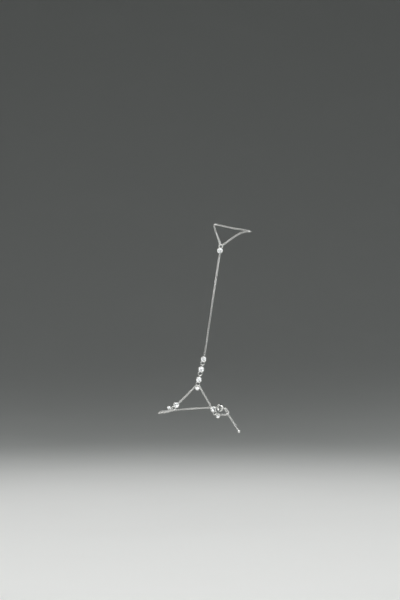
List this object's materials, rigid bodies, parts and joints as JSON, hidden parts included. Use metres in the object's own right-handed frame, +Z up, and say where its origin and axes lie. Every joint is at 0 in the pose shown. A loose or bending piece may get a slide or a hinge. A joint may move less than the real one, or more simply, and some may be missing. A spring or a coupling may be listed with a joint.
{
  "type": "hand chain bracelet",
  "caption": "Fine hand chain with a wrist loop, strands in a V, a row of round clear stones with small drops, and a chain up to a loop round the index finger.",
  "frame": {"origin": "middle of the loop that goes round the wrist", "axes": "+Z up the hand to the fingertips, +X to the thumb side, -Y out of the back of the hand"},
  "size_m": [0.0618, 0.0422, 0.1397],
  "materials": {
    "silver": "polished",
    "clear_stone": "polished"
  },
  "bodies": {
    "root": {"wrist_chain_left": "silver", "wrist_chain_right": "silver", "left_strand": "silver", "right_strand": "silver", "hand_chain": "silver", "finger_chain": "silver", "extension_chain": "silver", "left_setting": "silver", "right_setting": "silver", "row_setting_1": "silver", "row_setting_2": "silver", "row_setting_3": "silver", "centre_drop": "silver", "left_drop": "silver", "right_drop": "silver", "finger_setting": "silver", "clasp": "silver", "clasp_ring": "silver", "end_ring": "silver", "end_drop": "silver", "left_stone": "clear_stone", "right_stone": "clear_stone", "row_stone_1": "clear_stone", "row_stone_2": "clear_stone", "row_stone_3": "clear_stone", "centre_drop_stone": "clear_stone", "left_drop_stone": "clear_stone", "right_drop_stone": "clear_stone", "finger_stone": "clear_stone"}
  },
  "joints": []
}
